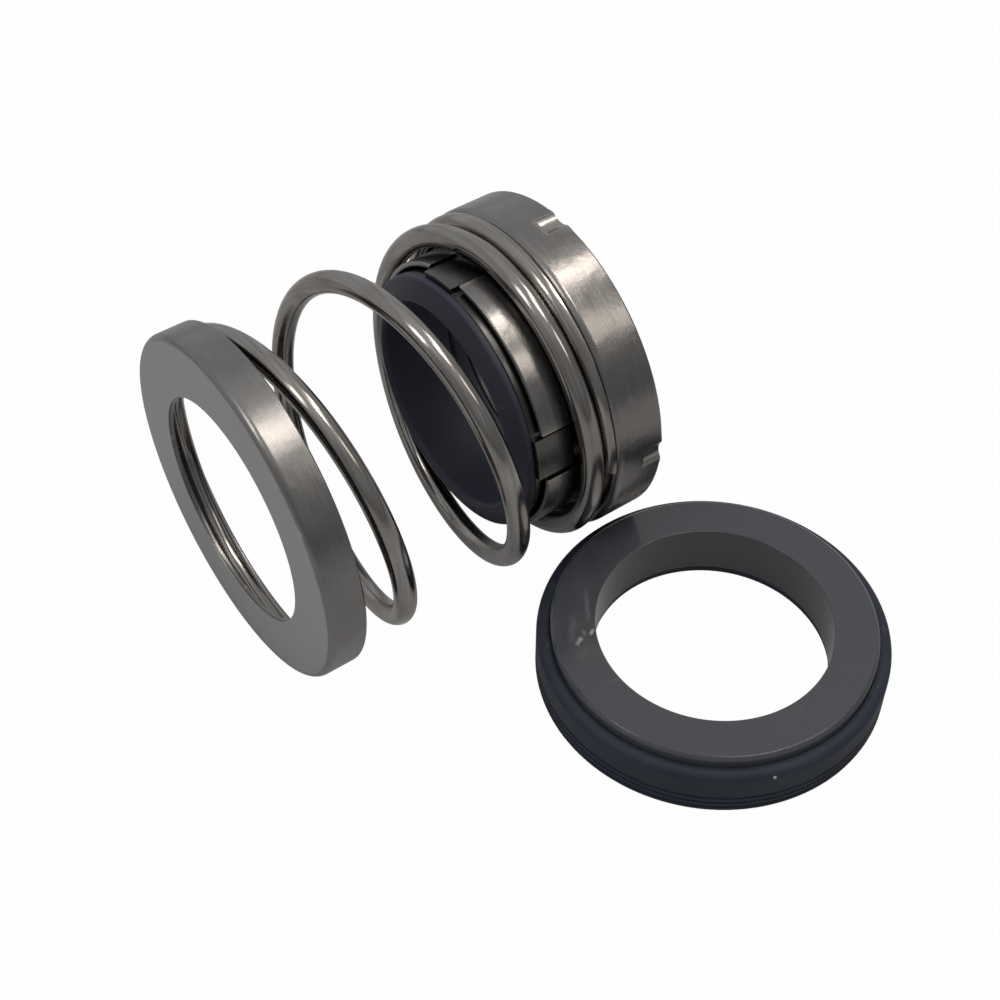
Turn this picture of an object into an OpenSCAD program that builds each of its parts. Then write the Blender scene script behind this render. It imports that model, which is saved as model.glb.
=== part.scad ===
// Bellows shaft seal: a spring-loaded rotating head lying on its side, and the stationary seat beside it.
// The head's axis is X, from the spring holder to the sealing face. Z is up, and the set lies on the plane
// z = -holder_r. The origin is the middle of the bellows' grip on the shaft.

/* [Shaft] */
// Diameter of the shaft that the seal is made for
shaft_d = 30; // [24:0.5:40]
// Gap between the shaft and the holder's and seat's bores, which only clear it
shaft_clear = 1; // [0.5:0.1:2]

/* [Bellows] */
// Rubber thickness of the tail under the drive band
tail_wall = 2.9; // [2.4:0.1:4]
// Length of the grip on the shaft
grip_len = 10; // [9:0.5:12]
// How far the rubber's mouth stands out past the grip
mouth_out = 0.7; // [0.4:0.1:1]
// How far the mouth's face slopes back to its outer edge
mouth_slope = 1.2; // [0.6:0.1:1.2]
// Thickness of the folded wall and of the flange
bellows_wall = 1.2; // [0.8:0.1:1.3]

/* [Drive band] */
// Sheet thickness of the band
band_t = 0.7; // [0.5:0.1:1]
// How far in from the grip's end the band starts
band_in = 1.4; // [1.2:0.1:2]
// How far the band and its lugs stand out past the neck
band_out = 1.1; // [0.5:0.1:2]
// Number of lugs, one in each slot of the neck
lug_count = 4; // [2:1:6]
// Width of a lug
lug_w = 6.2; // [4:0.1:8]
// Length of a lug along the axis
lug_len = 5.6; // [4:0.1:6]
// Height of a lug's face above the band
lug_rise = 0.8; // [0.5:0.1:1.1]
// Radius of a lug's corners
lug_corner = 0.7; // [0.3:0.1:1.2]
// Turn of the first lug from straight up
lug_turn = -11.5; // [-45:0.5:45]

/* [Retainer] */
// Sheet thickness
retainer_t = 0.8; // [0.6:0.1:1]
// Length of the narrow neck, from its edge to the shoulder
neck_len = 8.4; // [7.8:0.1:10]
// Length of the wide shell, from the shoulder to the far rim
shell_len = 7.6; // [6:0.1:9]
// Radius of the shoulder's outer corner
shoulder_r = 1.2; // [1.1:0.1:2]
// Gap between the drive band and the neck
neck_clear = 0.35; // [0.25:0.05:0.6]
// Gap along each side of a lug in its slot
slot_clear = 0.5; // [0.3:0.1:1]
// Number of pressed dents at the far rim
dent_count = 4; // [2:1:6]
// Width of a dent
dent_w = 3.4; // [3:0.1:5]
// Length of a dent along the axis
dent_len = 3.2; // [2:0.1:3.5]
// Depth of a dent
dent_depth = 0.7; // [0.5:0.05:0.9]

/* [Spring] */
// Wire diameter
wire_d = 3.1; // [2:0.1:3.5]
// Gap between the neck and the coils round it
coil_clear = 0.75; // [0.4:0.05:1.2]
// Length of the free spring, from the holder's floor to the shoulder
spring_len = 44.1; // [38:0.1:55]
// Turn at which the wire leaves the flat turn in the holder
leave_turn = -90; // [-180:5:180]
// Open turns between the two closed ends
open_turns = 2.24; // [1.5:0.01:3]
// Closed turns in the holder
holder_turns = 1; // [0.5:0.05:1.5]
// Closed turns at the shoulder
shoulder_turns = 1.26; // [0.5:0.01:1.5]
// How much of the wire is ground away at each tip, where the end coils are flat
wire_ground = 2; // [0:0.1:2]
// How far the open turns lean from an even pitch towards the head
coil_lean = 1.1; // [0:0.1:2.5]

/* [Spring holder] */
// Sheet thickness
holder_t = 0.8; // [0.6:0.1:1.5]
// Height of the rim, outside
holder_h = 5.4; // [4.5:0.1:8]
// Radius of the outer corner
holder_corner = 1.1; // [1:0.1:2]
// Gap between the rim and the end coil
holder_clear = 0.1; // [0.05:0.05:0.5]

/* [Primary ring] */
// Gap between the shaft and the ring
ring_shaft_clear = 1.2; // [0.5:0.1:2]
// Gap between the ring and the retainer's shell
ring_clear = 0.3; // [0.2:0.05:0.6]
// Width of the sealing face
nose_w = 3.2; // [2.5:0.1:4]
// How far the sealing face stands out past the retainer's rim
nose_out = 1.5; // [0.8:0.1:3]
// How far the ring's shoulder stands out past the retainer's rim
ring_out = 0.4; // [0.2:0.1:0.6]
// Gap round a dent in the ring's notch
notch_clear = 0.3; // [0.2:0.05:0.5]

/* [Stationary seat] */
// Width of the lapped face
seat_w = 6; // [5:0.1:8]
// Height of the seat, from its back to its face
seat_h = 8.9; // [8:0.1:14]
// How far the face stands above the rubber
face_step = 1.6; // [0.5:0.1:2]
// Chamfer of the face's outer edge
face_chamfer = 0.45; // [0.2:0.05:0.8]
// Rubber thickness of the cup's side
cup_side = 1.8; // [1.5:0.1:3]
// Rubber thickness of the cup's base
cup_base = 1.2; // [1:0.1:2.5]
// Radius of the cup's top corner
cup_corner = 1.2; // [0.6:0.1:1.3]
// How much wider the cup's base is than the ring's bore
base_step = 0.3; // [0.2:0.1:3]
// Number of fine grip grooves round the cup
groove_count = 3; // [1:1:4]
// Depth of a grip groove
groove_depth = 0.15; // [0.1:0.05:0.3]
// Where the seat lies along the head, from the origin
seat_x = 9.6; // [4:0.1:12]
// Free space between the cup's top and the head
seat_gap = 1.4; // [1:0.1:5]

/* [Travel] */
// How far the bellows' tail and its band can slide into the head
drive_travel = 2; // [1:0.1:2.5]

/* [Hidden] */
$fn = 96;

// Small clearances, edges and fillets
touch = 0.05;       // between faces that seat on each other
lap = 0.1;          // of two solids that are one sheet
cut = 1;            // how far a cutter runs past what it cuts
edge_r = 0.3;       // rounded edges
fillet_r = 0.4;     // inside corner between the neck and the shoulder
bend_r = 0.1;       // inside corner of the spring holder
run_clear = 0.3;    // between the folded rubber and the neck
slot_end = 0.5;     // left of a slot when the lug has travelled in
groove_w = 0.5;     // width and spacing of the cup's grip grooves
wire_sides = 10;    // facets round the wire
wire_step = 12;     // degrees of coil to a ring of facets

// Radii of the head, from the shaft outwards
shaft_r = shaft_d / 2;
clear_r = shaft_r + shaft_clear;
tail_r = shaft_r + tail_wall;
band_r = tail_r + band_t;
neck_in = band_r + neck_clear;
neck_r = neck_in + retainer_t;
wire_r = wire_d / 2;
coil_r = neck_r + coil_clear + wire_r;
coil_out = coil_r + wire_r;
shell_r = coil_out + lap;
shell_in = shell_r - retainer_t;
holder_in = coil_out + holder_clear;
holder_r = holder_in + holder_t;
dent_in = shell_r - dent_depth - retainer_t;
flange_r = dent_in - 2 * touch;
ring_r = shell_in - ring_clear;
ring_bore_r = shaft_r + ring_shaft_clear;
nose_r = ring_bore_r + nose_w;
fold_in = ring_bore_r + 2 * bend_r;

// Places along the head's axis, from the grip outwards
grip_x = -grip_len / 2;
grip_end = grip_len / 2;
band_x = grip_x + band_in;
band_len = grip_end - edge_r * 3 - band_x;
lip_x = band_x + band_out;
slot_len = lug_len - band_out + drive_travel + slot_end;
shoulder_x = lip_x + neck_len;
rim_x = shoulder_x + shell_len;
face_x = rim_x + nose_out;
floor_x = shoulder_x - spring_len;
holder_x = floor_x - holder_t;
flange_x = shoulder_x + retainer_t + touch;
ring_x = flange_x + bellows_wall + touch;

// Turns of the spring, right-handed about X, and where its ends lie
wire_pitch = wire_d + touch;
land_turn = leave_turn + 360 * open_turns;
first_turn = leave_turn - 360 * holder_turns;
last_turn = land_turn + 360 * shoulder_turns;
start_x = floor_x + touch + wire_r - wire_ground;
end_x = shoulder_x - touch - wire_r + wire_ground;
leave_x = start_x + wire_pitch * holder_turns;
land_x = end_x - wire_pitch * shoulder_turns;

// The seat, and where it lies beside the head
ground_z = -holder_r;
seat_r = clear_r + seat_w;
cup_in = seat_r + touch;
cup_r = cup_in + cup_side;
cup_h = seat_h - face_step;
head_reach = sqrt(pow(shell_r, 2) - pow(holder_r - cup_h, 2));
seat_y = -(head_reach + seat_gap + cup_r);

// Points of a round stretch about the centre c, from one angle to another
function arc(c, r, from, to, steps = 6) =
    [for (i = [0:steps]) let (a = from + (to - from) * i / steps) c + r * [cos(a), sin(a)]];

// Place of the wire's centre along the axis at a turn of t degrees
function wire_x(t) =
    t < leave_turn ? start_x + wire_pitch * (t - first_turn) / 360 :
    t > land_turn ? end_x - wire_pitch * (last_turn - t) / 360 :
    let (u = (t - leave_turn) / (land_turn - leave_turn))
    leave_x + (land_x - leave_x) * u + coil_lean * sin(180 * u * u);

// A point on the wire's skin: t along the coil, a round the wire. Turns start at +Z and run towards -Y.
function wire_point(t, a) =
    let (r = coil_r + wire_r * cos(a)) [wire_x(t) + wire_r * sin(a), -r * sin(t), r * cos(t)];

// A solid of revolution about the head's axis: the outline's x is the radius, its y the place along X
module turned(outline) {
    on_head() rotate_extrude() polygon(outline);
}

// Lays a piece that is drawn along Z onto the head's axis, with its own X pointing up
module on_head() {
    rotate([0, 90, 0]) rotate([0, 0, 180]) children();
}

// Copies of a piece round the head's axis
module around_head(count, turn) {
    for (i = [0:count - 1]) on_head() rotate([0, 0, turn + i * 360 / count]) children();
}

// A bar with rounded ends that runs outwards from the axis, w wide, between two places along the axis
module radial_bar(w, from, to, corner, r) {
    rotate([0, 90, 0])
        linear_extrude(r)
            union() {
                translate([-to + corner, -w / 2]) square([to - from - 2 * corner, w]);
                translate([-to, -w / 2 + corner]) square([to - from, w - 2 * corner]);
                for (x = [-to + corner, -from - corner], y = [-w / 2 + corner, w / 2 - corner])
                    translate([x, y]) circle(corner);
            }
}

// Pressed cup that takes the end coil
module spring_holder() {
    rim_x1 = holder_x + holder_h;
    color([0.43, 0.43, 0.44])
        turned(concat(
            [[clear_r, floor_x], [clear_r, holder_x]],
            arc([holder_r - holder_corner, holder_x + holder_corner], holder_corner, 270, 360, 8),
            arc([holder_r - edge_r, rim_x1 - edge_r], edge_r, 0, 90, 4),
            arc([holder_in + edge_r, rim_x1 - edge_r], edge_r, 90, 180, 4),
            arc([holder_in - bend_r, floor_x + bend_r], bend_r, 360, 270, 2)
        ));
}

// Round wire coiled with closed ends, ground flat where it would pass the floor or the shoulder
module spring() {
    rings = ceil((last_turn - first_turn) / wire_step);
    turns = [for (i = [0:rings]) first_turn + (last_turn - first_turn) * i / rings];
    points = [for (t = turns, k = [0:wire_sides - 1]) wire_point(t, 360 * k / wire_sides)];
    side = [for (i = [0:rings - 1], k = [0:wire_sides - 1])
        let (a = i * wire_sides, b = a + wire_sides, n = (k + 1) % wire_sides)
        [a + k, b + k, b + n, a + n]];
    near_end = [for (k = [0:wire_sides - 1]) k];
    far_end = [for (k = [wire_sides - 1:-1:0]) rings * wire_sides + k];
    color([0.56, 0.53, 0.52])
        intersection() {
            polyhedron(points, concat(side, [near_end, far_end]), convexity = 8);
            translate([floor_x + touch, 0, 0])
                rotate([0, 90, 0]) cylinder(r = coil_out + cut, h = spring_len - 2 * touch);
        }
}

// Drawn shell: a slotted neck inside the spring and a wide shell round the primary ring
module retainer() {
    groove_r = (pow(dent_w / 2, 2) + pow(dent_depth, 2)) / (2 * dent_depth);
    groove_c = shell_r - dent_depth + groove_r;
    bend_out = fillet_r + retainer_t;
    corner_in = shoulder_r - retainer_t;
    color([0.50, 0.47, 0.46])
        difference() {
            union() {
                turned(concat(
                    arc([neck_r - edge_r, lip_x + edge_r], edge_r, 270, 360, 3),
                    arc([neck_r + fillet_r, shoulder_x - fillet_r], fillet_r, 180, 90, 4),
                    arc([shell_r - shoulder_r, shoulder_x + shoulder_r], shoulder_r, 270, 360, 8),
                    arc([shell_r - edge_r, rim_x - edge_r], edge_r, 0, 90, 3),
                    arc([shell_in + edge_r, rim_x - edge_r], edge_r, 90, 180, 3),
                    arc([shell_in - corner_in, shoulder_x + shoulder_r], corner_in, 360, 270, 4),
                    arc([neck_in + bend_out, shoulder_x - fillet_r], bend_out, 90, 180, 6),
                    arc([neck_in + edge_r, lip_x + edge_r], edge_r, 180, 270, 3)
                ));
                around_head(dent_count, 0)
                    translate([0, 0, rim_x - dent_len - retainer_t])
                        intersection() {
                            translate([groove_c, 0, 0]) cylinder(r = groove_r + retainer_t, h = dent_len + retainer_t);
                            difference() {
                                cylinder(r = shell_r - lap, h = dent_len + retainer_t);
                                translate([0, 0, -cut]) cylinder(r = dent_in - cut, h = dent_len + retainer_t + 2 * cut);
                            }
                        }
            }
            around_head(dent_count, 0)
                translate([groove_c, 0, rim_x - dent_len]) cylinder(r = groove_r, h = dent_len + cut);
            around_head(lug_count, lug_turn)
                radial_bar(lug_w + 2 * slot_clear, lip_x - 2 * cut, lip_x + slot_len, lug_corner, neck_r + cut);
        }
}

// Band that clamps the bellows' tail, with a raised lug for each slot of the neck
module drive_band() {
    color([0.47, 0.45, 0.45])
        union() {
            turned([
                [tail_r, band_x], [band_r - edge_r / 2, band_x], [band_r, band_x + edge_r / 2],
                [band_r, band_x + band_len], [tail_r, band_x + band_len]
            ]);
            around_head(lug_count, lug_turn)
                intersection() {
                    radial_bar(lug_w, band_x, band_x + lug_len, lug_corner, neck_r);
                    translate([0, 0, band_x])
                        difference() {
                            cylinder(r = band_r + lug_rise, h = lug_len);
                            translate([0, 0, -cut]) cylinder(r = band_r - lap, h = lug_len + 2 * cut);
                        }
                }
        }
}

// Rubber bellows: the tail that grips the shaft, one fold inside the neck, and the flange behind the ring
module bellows() {
    mouth_r = band_r + touch;
    mouth_edge = grip_x - mouth_out + mouth_slope;
    crest_r = neck_in - run_clear;
    fold_r = (flange_x - band_x - band_len) / 4;
    crest_x = band_x + band_len + fold_r;
    valley_x = crest_x + 2 * fold_r;
    under_r = tail_r - touch;
    color([0.10, 0.11, 0.15])
        turned(concat(
            [[shaft_r, grip_end], [shaft_r, grip_x], [shaft_r + edge_r * 1.5, grip_x - mouth_out]],
            arc([mouth_r - edge_r, mouth_edge + edge_r], edge_r, 290, 360, 3),
            [[mouth_r, band_x - touch], [under_r, band_x - touch], [under_r, band_x + band_len + touch]],
            arc([crest_r - fold_r, crest_x], fold_r, -45, 45, 4),
            arc([crest_r + fold_r / 4, valley_x], fold_r, 180, 150, 2),
            [[fold_in + bellows_wall * 1.5, flange_x], [flange_r, flange_x]],
            [[flange_r, ring_x - touch], [fold_in, ring_x - touch]],
            [[fold_in, valley_x], [fold_in + bellows_wall / 2, crest_x + fold_r]]
        ));
}

// Ring with the rotating sealing face, notched for the retainer's dents
module primary_ring() {
    groove_r = (pow(dent_w / 2, 2) + pow(dent_depth, 2)) / (2 * dent_depth);
    groove_c = shell_r - dent_depth + groove_r;
    color([0.20, 0.20, 0.22])
        difference() {
            turned([
                [ring_bore_r, ring_x], [ring_r - edge_r, ring_x], [ring_r, ring_x + edge_r],
                [ring_r, rim_x + ring_out - edge_r], [ring_r - edge_r, rim_x + ring_out],
                [nose_r, rim_x + ring_out], [nose_r, face_x], [ring_bore_r, face_x]
            ]);
            around_head(dent_count, 0)
                translate([groove_c, 0, ring_x - cut])
                    cylinder(r = groove_r + retainer_t + notch_clear, h = face_x - ring_x);
        }
}

// Stationary ring with the lapped face
module seat_ring() {
    top = seat_h;
    base = cup_base + touch;
    color([0.28, 0.28, 0.30])
        translate([seat_x, seat_y, ground_z])
            rotate_extrude()
                polygon([
                    [clear_r, base], [seat_r - edge_r, base], [seat_r, base + edge_r],
                    [seat_r, top - face_chamfer], [seat_r - face_chamfer, top], [clear_r, top]
                ]);
}

// Rubber cup under and round the stationary ring, with fine grip grooves round its foot
module seat_cup() {
    color([0.13, 0.14, 0.18])
        translate([seat_x, seat_y, ground_z])
            difference() {
                rotate_extrude()
                    polygon(concat(
                        [[clear_r + base_step, 0], [cup_r - edge_r, 0], [cup_r, edge_r]],
                        arc([cup_r - cup_corner, cup_h - cup_corner], cup_corner, 0, 90, 8),
                        [[cup_in, cup_h], [cup_in, cup_base], [clear_r + base_step, cup_base]]
                    ));
                for (i = [0:groove_count - 1])
                    translate([0, 0, 2 * edge_r + i * 2 * groove_w])
                        difference() {
                            cylinder(r = cup_r + cut, h = groove_w);
                            translate([0, 0, -cut]) cylinder(r = cup_r - groove_depth, h = groove_w + 2 * cut);
                        }
            }
}

spring_holder();
spring();
retainer();
drive_band();
bellows();
primary_ring();
seat_ring();
seat_cup();
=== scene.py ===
from math import ceil, cos, pi, radians, sin, sqrt

import bmesh
import bpy
from mathutils import Matrix, Vector


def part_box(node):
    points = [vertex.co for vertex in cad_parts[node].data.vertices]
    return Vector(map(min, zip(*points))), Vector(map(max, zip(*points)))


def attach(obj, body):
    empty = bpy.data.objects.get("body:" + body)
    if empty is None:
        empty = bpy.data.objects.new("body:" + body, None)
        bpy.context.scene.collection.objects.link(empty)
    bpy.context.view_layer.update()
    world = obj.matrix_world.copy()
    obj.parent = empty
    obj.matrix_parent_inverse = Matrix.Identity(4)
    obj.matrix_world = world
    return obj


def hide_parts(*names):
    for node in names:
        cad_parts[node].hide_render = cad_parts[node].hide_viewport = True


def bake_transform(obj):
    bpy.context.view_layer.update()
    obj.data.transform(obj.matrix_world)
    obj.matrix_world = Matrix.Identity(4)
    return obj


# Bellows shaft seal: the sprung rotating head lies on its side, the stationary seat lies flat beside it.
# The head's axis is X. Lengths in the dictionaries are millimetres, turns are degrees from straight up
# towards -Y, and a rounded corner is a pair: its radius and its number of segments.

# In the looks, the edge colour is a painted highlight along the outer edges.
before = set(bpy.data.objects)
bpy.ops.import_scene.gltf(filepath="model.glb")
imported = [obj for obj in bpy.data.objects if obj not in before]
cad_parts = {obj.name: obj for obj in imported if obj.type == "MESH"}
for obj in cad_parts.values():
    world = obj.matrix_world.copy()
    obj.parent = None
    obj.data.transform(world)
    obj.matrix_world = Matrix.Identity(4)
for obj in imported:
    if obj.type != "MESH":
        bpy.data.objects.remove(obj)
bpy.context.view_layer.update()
mm = 0.001  # metres
weldGap = 1e-7  # metres, for points that are meant to be one
samePlace = 1e-6  # metres, when a point is looked for by its place
smoothAngle = 32  # degrees, a sharper edge stays sharp
roundedAngle = 40  # degrees, a blunter edge gets no rounding after a boolean
cutterSides = 240  # of the round tools that trim a piece
cutterReach = 40  # how far they reach each way along the axis

headCentre = Vector((0, 0, 0))
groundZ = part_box("seat_cup")[0][2]
seatCentre = Vector([(low + high) / 2 for low, high in zip(*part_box("seat_cup"))][:2] + [groundZ])


# Modelling helpers

def nothingSelected():
    if bpy.context.mode != "OBJECT":
        bpy.ops.object.mode_set(mode="OBJECT")
    bpy.ops.object.select_all(action="DESELECT")


def startOutline(name):
    nothingSelected()
    bpy.ops.mesh.primitive_plane_add(size=mm, location=(0, 0, 0))
    piece = bpy.context.object
    piece.name = name
    piece.data.name = name
    bpy.ops.object.mode_set(mode="EDIT")
    bpy.ops.mesh.select_mode(type="VERT")
    bpy.ops.mesh.select_all(action="SELECT")
    bpy.ops.mesh.merge(type="CENTER")
    return piece


def selectWhere(piece, test):
    bpy.ops.mesh.select_all(action="DESELECT")
    net = bmesh.from_edit_mesh(piece.data)
    for vert in net.verts:
        vert.select = test(vert.co)
    net.select_flush_mode()
    bmesh.update_edit_mesh(piece.data)


def drawOutline(piece, places):
    # one vertex is drawn along the outline, and its end is merged with its start
    bpy.ops.mesh.select_all(action="SELECT")
    bpy.ops.transform.translate(value=places[0])
    for before, after in zip(places, places[1:] + places[:1]):
        bpy.ops.mesh.extrude_region_move(TRANSFORM_OT_translate={"value": after - before})
    bpy.ops.mesh.select_all(action="SELECT")
    bpy.ops.mesh.remove_doubles(threshold=weldGap)


def roundCorner(piece, place, radius, segments):
    selectWhere(piece, lambda co: (co - place).length < samePlace)
    bpy.ops.mesh.bevel(offset=radius * mm, offset_type="OFFSET", segments=segments, affect="VERTICES")


def finishMesh(piece):
    nothingSelected()
    piece.select_set(True)
    bpy.context.view_layer.objects.active = piece
    bpy.ops.object.shade_smooth_by_angle(angle=radians(smoothAngle))
    nothingSelected()


def turnedPiece(name, outline, steps=256, upright=False, centre=headCentre):
    # outline: place along the axis, radius, and the rounding of that corner. An upright piece turns about Z.
    piece = startOutline(name)
    places = []
    for along, radius, *_ in outline:
        place = (radius, 0, along) if upright else (along, 0, radius)
        places.append(centre + Vector(place) * mm)
    drawOutline(piece, places)
    for place, (_, _, *rounding) in zip(places, outline):
        if rounding:
            roundCorner(piece, place, *rounding[0])
    bpy.ops.mesh.select_all(action="SELECT")
    axis = (0, 0, 1) if upright else (1, 0, 0)
    bpy.ops.mesh.spin(steps=steps, angle=2 * pi, center=centre, axis=axis)
    bpy.ops.mesh.select_all(action="SELECT")
    bpy.ops.mesh.remove_doubles(threshold=samePlace)
    bpy.ops.mesh.normals_make_consistent(inside=False)
    finishMesh(piece)
    return piece


def applyModifiers(piece):
    nothingSelected()
    piece.select_set(True)
    bpy.context.view_layer.objects.active = piece
    for modifier in list(piece.modifiers):
        bpy.ops.object.modifier_apply(modifier=modifier.name)
    nothingSelected()


def combine(piece, others, operation):
    for other in others:
        modifier = piece.modifiers.new(operation.lower(), "BOOLEAN")
        modifier.operation = operation
        modifier.solver = "EXACT"
        modifier.object = other
        applyModifiers(piece)
        bpy.data.objects.remove(other, do_unlink=True)


def sortMesh(piece):
    # a boolean gives its vertices and faces in a different order each run, and a bevel depends on the order
    mesh = piece.data
    order = sorted(range(len(mesh.vertices)), key=lambda index: tuple(mesh.vertices[index].co))
    newIndex = {old: new for new, old in enumerate(order)}
    places = [mesh.vertices[index].co.copy() for index in order]
    faces = []
    for face in mesh.polygons:
        ring = [newIndex[index] for index in face.vertices]
        start = ring.index(min(ring))
        faces.append(ring[start:] + ring[:start])
    mesh.clear_geometry()
    mesh.from_pydata(places, [], sorted(faces))
    mesh.update()


def roundEdges(piece, rounding):
    sortMesh(piece)
    width, segments = rounding
    modifier = piece.modifiers.new("edges", "BEVEL")
    modifier.width = width * mm
    modifier.segments = segments
    modifier.limit_method = "ANGLE"
    modifier.angle_limit = radians(roundedAngle)
    modifier.use_clamp_overlap = True
    applyModifiers(piece)
    finishMesh(piece)


def radialBar(name, width, start, end, inner, outer, corner, turn):
    # a bar that points outwards from the head's axis, with its four long edges rounded
    rounding, segments = corner
    nothingSelected()
    bpy.ops.mesh.primitive_cube_add(size=1, location=(0, 0, 0))
    bar = bpy.context.object
    bar.name = name
    bpy.ops.object.mode_set(mode="EDIT")
    bpy.ops.mesh.select_mode(type="VERT")
    bpy.ops.mesh.select_all(action="SELECT")
    bpy.ops.transform.resize(value=Vector((end - start, width, outer - inner)) * mm)
    bpy.ops.transform.translate(value=Vector(((start + end) / 2, 0, (inner + outer) / 2)) * mm)
    bpy.ops.mesh.select_all(action="DESELECT")
    net = bmesh.from_edit_mesh(bar.data)
    for edge in net.edges:
        run = edge.verts[1].co - edge.verts[0].co
        edge.select_set(abs(run.z) > abs(run.x) + abs(run.y))
    bmesh.update_edit_mesh(bar.data)
    bpy.ops.mesh.bevel(offset=rounding * mm, offset_type="OFFSET", segments=segments, affect="EDGES")
    bpy.ops.mesh.select_all(action="SELECT")
    bpy.ops.mesh.normals_make_consistent(inside=False)
    bpy.ops.object.mode_set(mode="OBJECT")
    bar.data.transform(Matrix.Rotation(radians(turn), 4, "X"))
    return bar


def roundBar(name, radius, start=-cutterReach, end=cutterReach, middle=0, turn=0, sides=cutterSides):
    # a cylinder along the head's axis, its middle raised from the axis and then turned about it
    nothingSelected()
    bpy.ops.mesh.primitive_cylinder_add(vertices=sides, radius=radius * mm, depth=(end - start) * mm,
                                        location=((start + end) / 2 * mm, 0, middle * mm),
                                        rotation=(0, pi / 2, 0))
    bar = bpy.context.object
    bar.name = name
    bpy.ops.object.transform_apply(location=True, rotation=True, scale=True)
    bar.data.transform(Matrix.Rotation(radians(turn), 4, "X"))
    return bar


# Shader helpers

def addNode(tree, kind, place=(0, 0), **settings):
    node = tree.nodes.new(kind)
    node.location = place
    for key, value in settings.items():
        setattr(node, key, value)
    return node


def setValues(node, **values):
    for key, value in values.items():
        node.inputs[key.replace("_", " ")].default_value = value


def mathNode(tree, operation, first, second=None, place=(0, 0), clamp=False):
    node = addNode(tree, "ShaderNodeMath", place, operation=operation, use_clamp=clamp)
    for index, value in enumerate((first, second)):
        if value is None:
            continue
        if isinstance(value, (int, float)):
            node.inputs[index].default_value = value
        else:
            tree.links.new(value, node.inputs[index])
    return node.outputs[0]


def newGroup(name, inputs, outputs):
    group = bpy.data.node_groups.new(name, "ShaderNodeTree")
    for label, kind, value in inputs:
        socket = group.interface.new_socket(name=label, in_out="INPUT", socket_type="NodeSocket" + kind)
        if value is not None:
            socket.default_value = value
    for label, kind in outputs:
        group.interface.new_socket(name=label, in_out="OUTPUT", socket_type="NodeSocket" + kind)
    return group, addNode(group, "NodeGroupInput", (-900, 0)), addNode(group, "NodeGroupOutput", (700, 0))


def makeTurnedGrain():
    # streaks that run round the X axis of the vector, as a lathe, a drawing die or a polisher leaves them
    group, given, out = newGroup(
        "turnedGrain",
        [("Vector", "Vector", None), ("Fineness", "Float", 9000.0), ("Length", "Float", 3.0),
         ("Patch Size", "Float", 260.0)],
        [("Streaks", "Float"), ("Patches", "Float")])
    parts = addNode(group, "ShaderNodeSeparateXYZ", (-700, 0))
    group.links.new(given.outputs["Vector"], parts.inputs[0])
    ySquared = mathNode(group, "MULTIPLY", parts.outputs["Y"], parts.outputs["Y"], (-540, -80))
    zSquared = mathNode(group, "MULTIPLY", parts.outputs["Z"], parts.outputs["Z"], (-540, -200))
    squares = mathNode(group, "ADD", ySquared, zSquared, (-400, -140))
    radius = mathNode(group, "SQRT", squares, None, (-260, -140))
    outwards = mathNode(group, "ADD", parts.outputs["X"], radius, (-100, 40))
    across = mathNode(group, "MULTIPLY", outwards, given.outputs["Fineness"], (40, 40))
    ySide = mathNode(group, "DIVIDE", parts.outputs["Y"], radius, (-100, -120))
    sideways = mathNode(group, "MULTIPLY", ySide, given.outputs["Length"], (40, -120))
    zSide = mathNode(group, "DIVIDE", parts.outputs["Z"], radius, (-100, -260))
    upwards = mathNode(group, "MULTIPLY", zSide, given.outputs["Length"], (40, -260))
    joined = addNode(group, "ShaderNodeCombineXYZ", (200, 0))
    for index, part in enumerate((across, sideways, upwards)):
        group.links.new(part, joined.inputs[index])
    streaks = addNode(group, "ShaderNodeTexNoise", (380, 60))
    setValues(streaks, Scale=1.0, Detail=4.0, Roughness=0.65)
    group.links.new(joined.outputs[0], streaks.inputs["Vector"])
    patches = addNode(group, "ShaderNodeTexNoise", (380, -200))
    setValues(patches, Detail=3.0, Roughness=0.5)
    group.links.new(given.outputs["Vector"], patches.inputs["Vector"])
    group.links.new(given.outputs["Patch Size"], patches.inputs["Scale"])
    group.links.new(streaks.outputs[0], out.inputs["Streaks"])
    group.links.new(patches.outputs[0], out.inputs["Patches"])
    return group


def makeEdgeHighlight():
    # a mask of the outer edges for a painted edge highlight, broken up by a fine noise
    group, given, out = newGroup(
        "edgeHighlight",
        [("Vector", "Vector", None), ("From", "Float", 0.52), ("To", "Float", 0.62)],
        [("Edges", "Float")])
    shape = addNode(group, "ShaderNodeNewGeometry", (-700, 100))
    noise = addNode(group, "ShaderNodeTexNoise", (-700, -200))
    setValues(noise, Scale=900.0, Detail=3.0)
    group.links.new(given.outputs["Vector"], noise.inputs["Vector"])
    spread = addNode(group, "ShaderNodeMapRange", (-400, 100))
    group.links.new(shape.outputs["Pointiness"], spread.inputs["Value"])
    group.links.new(given.outputs["From"], spread.inputs["From Min"])
    group.links.new(given.outputs["To"], spread.inputs["From Max"])
    lifted = mathNode(group, "ADD", noise.outputs[0], 0.45, (-400, -200))
    broken = mathNode(group, "MULTIPLY", lifted, spread.outputs[0], (-100, 0), clamp=True)
    group.links.new(broken, out.inputs["Edges"])
    return group


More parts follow.
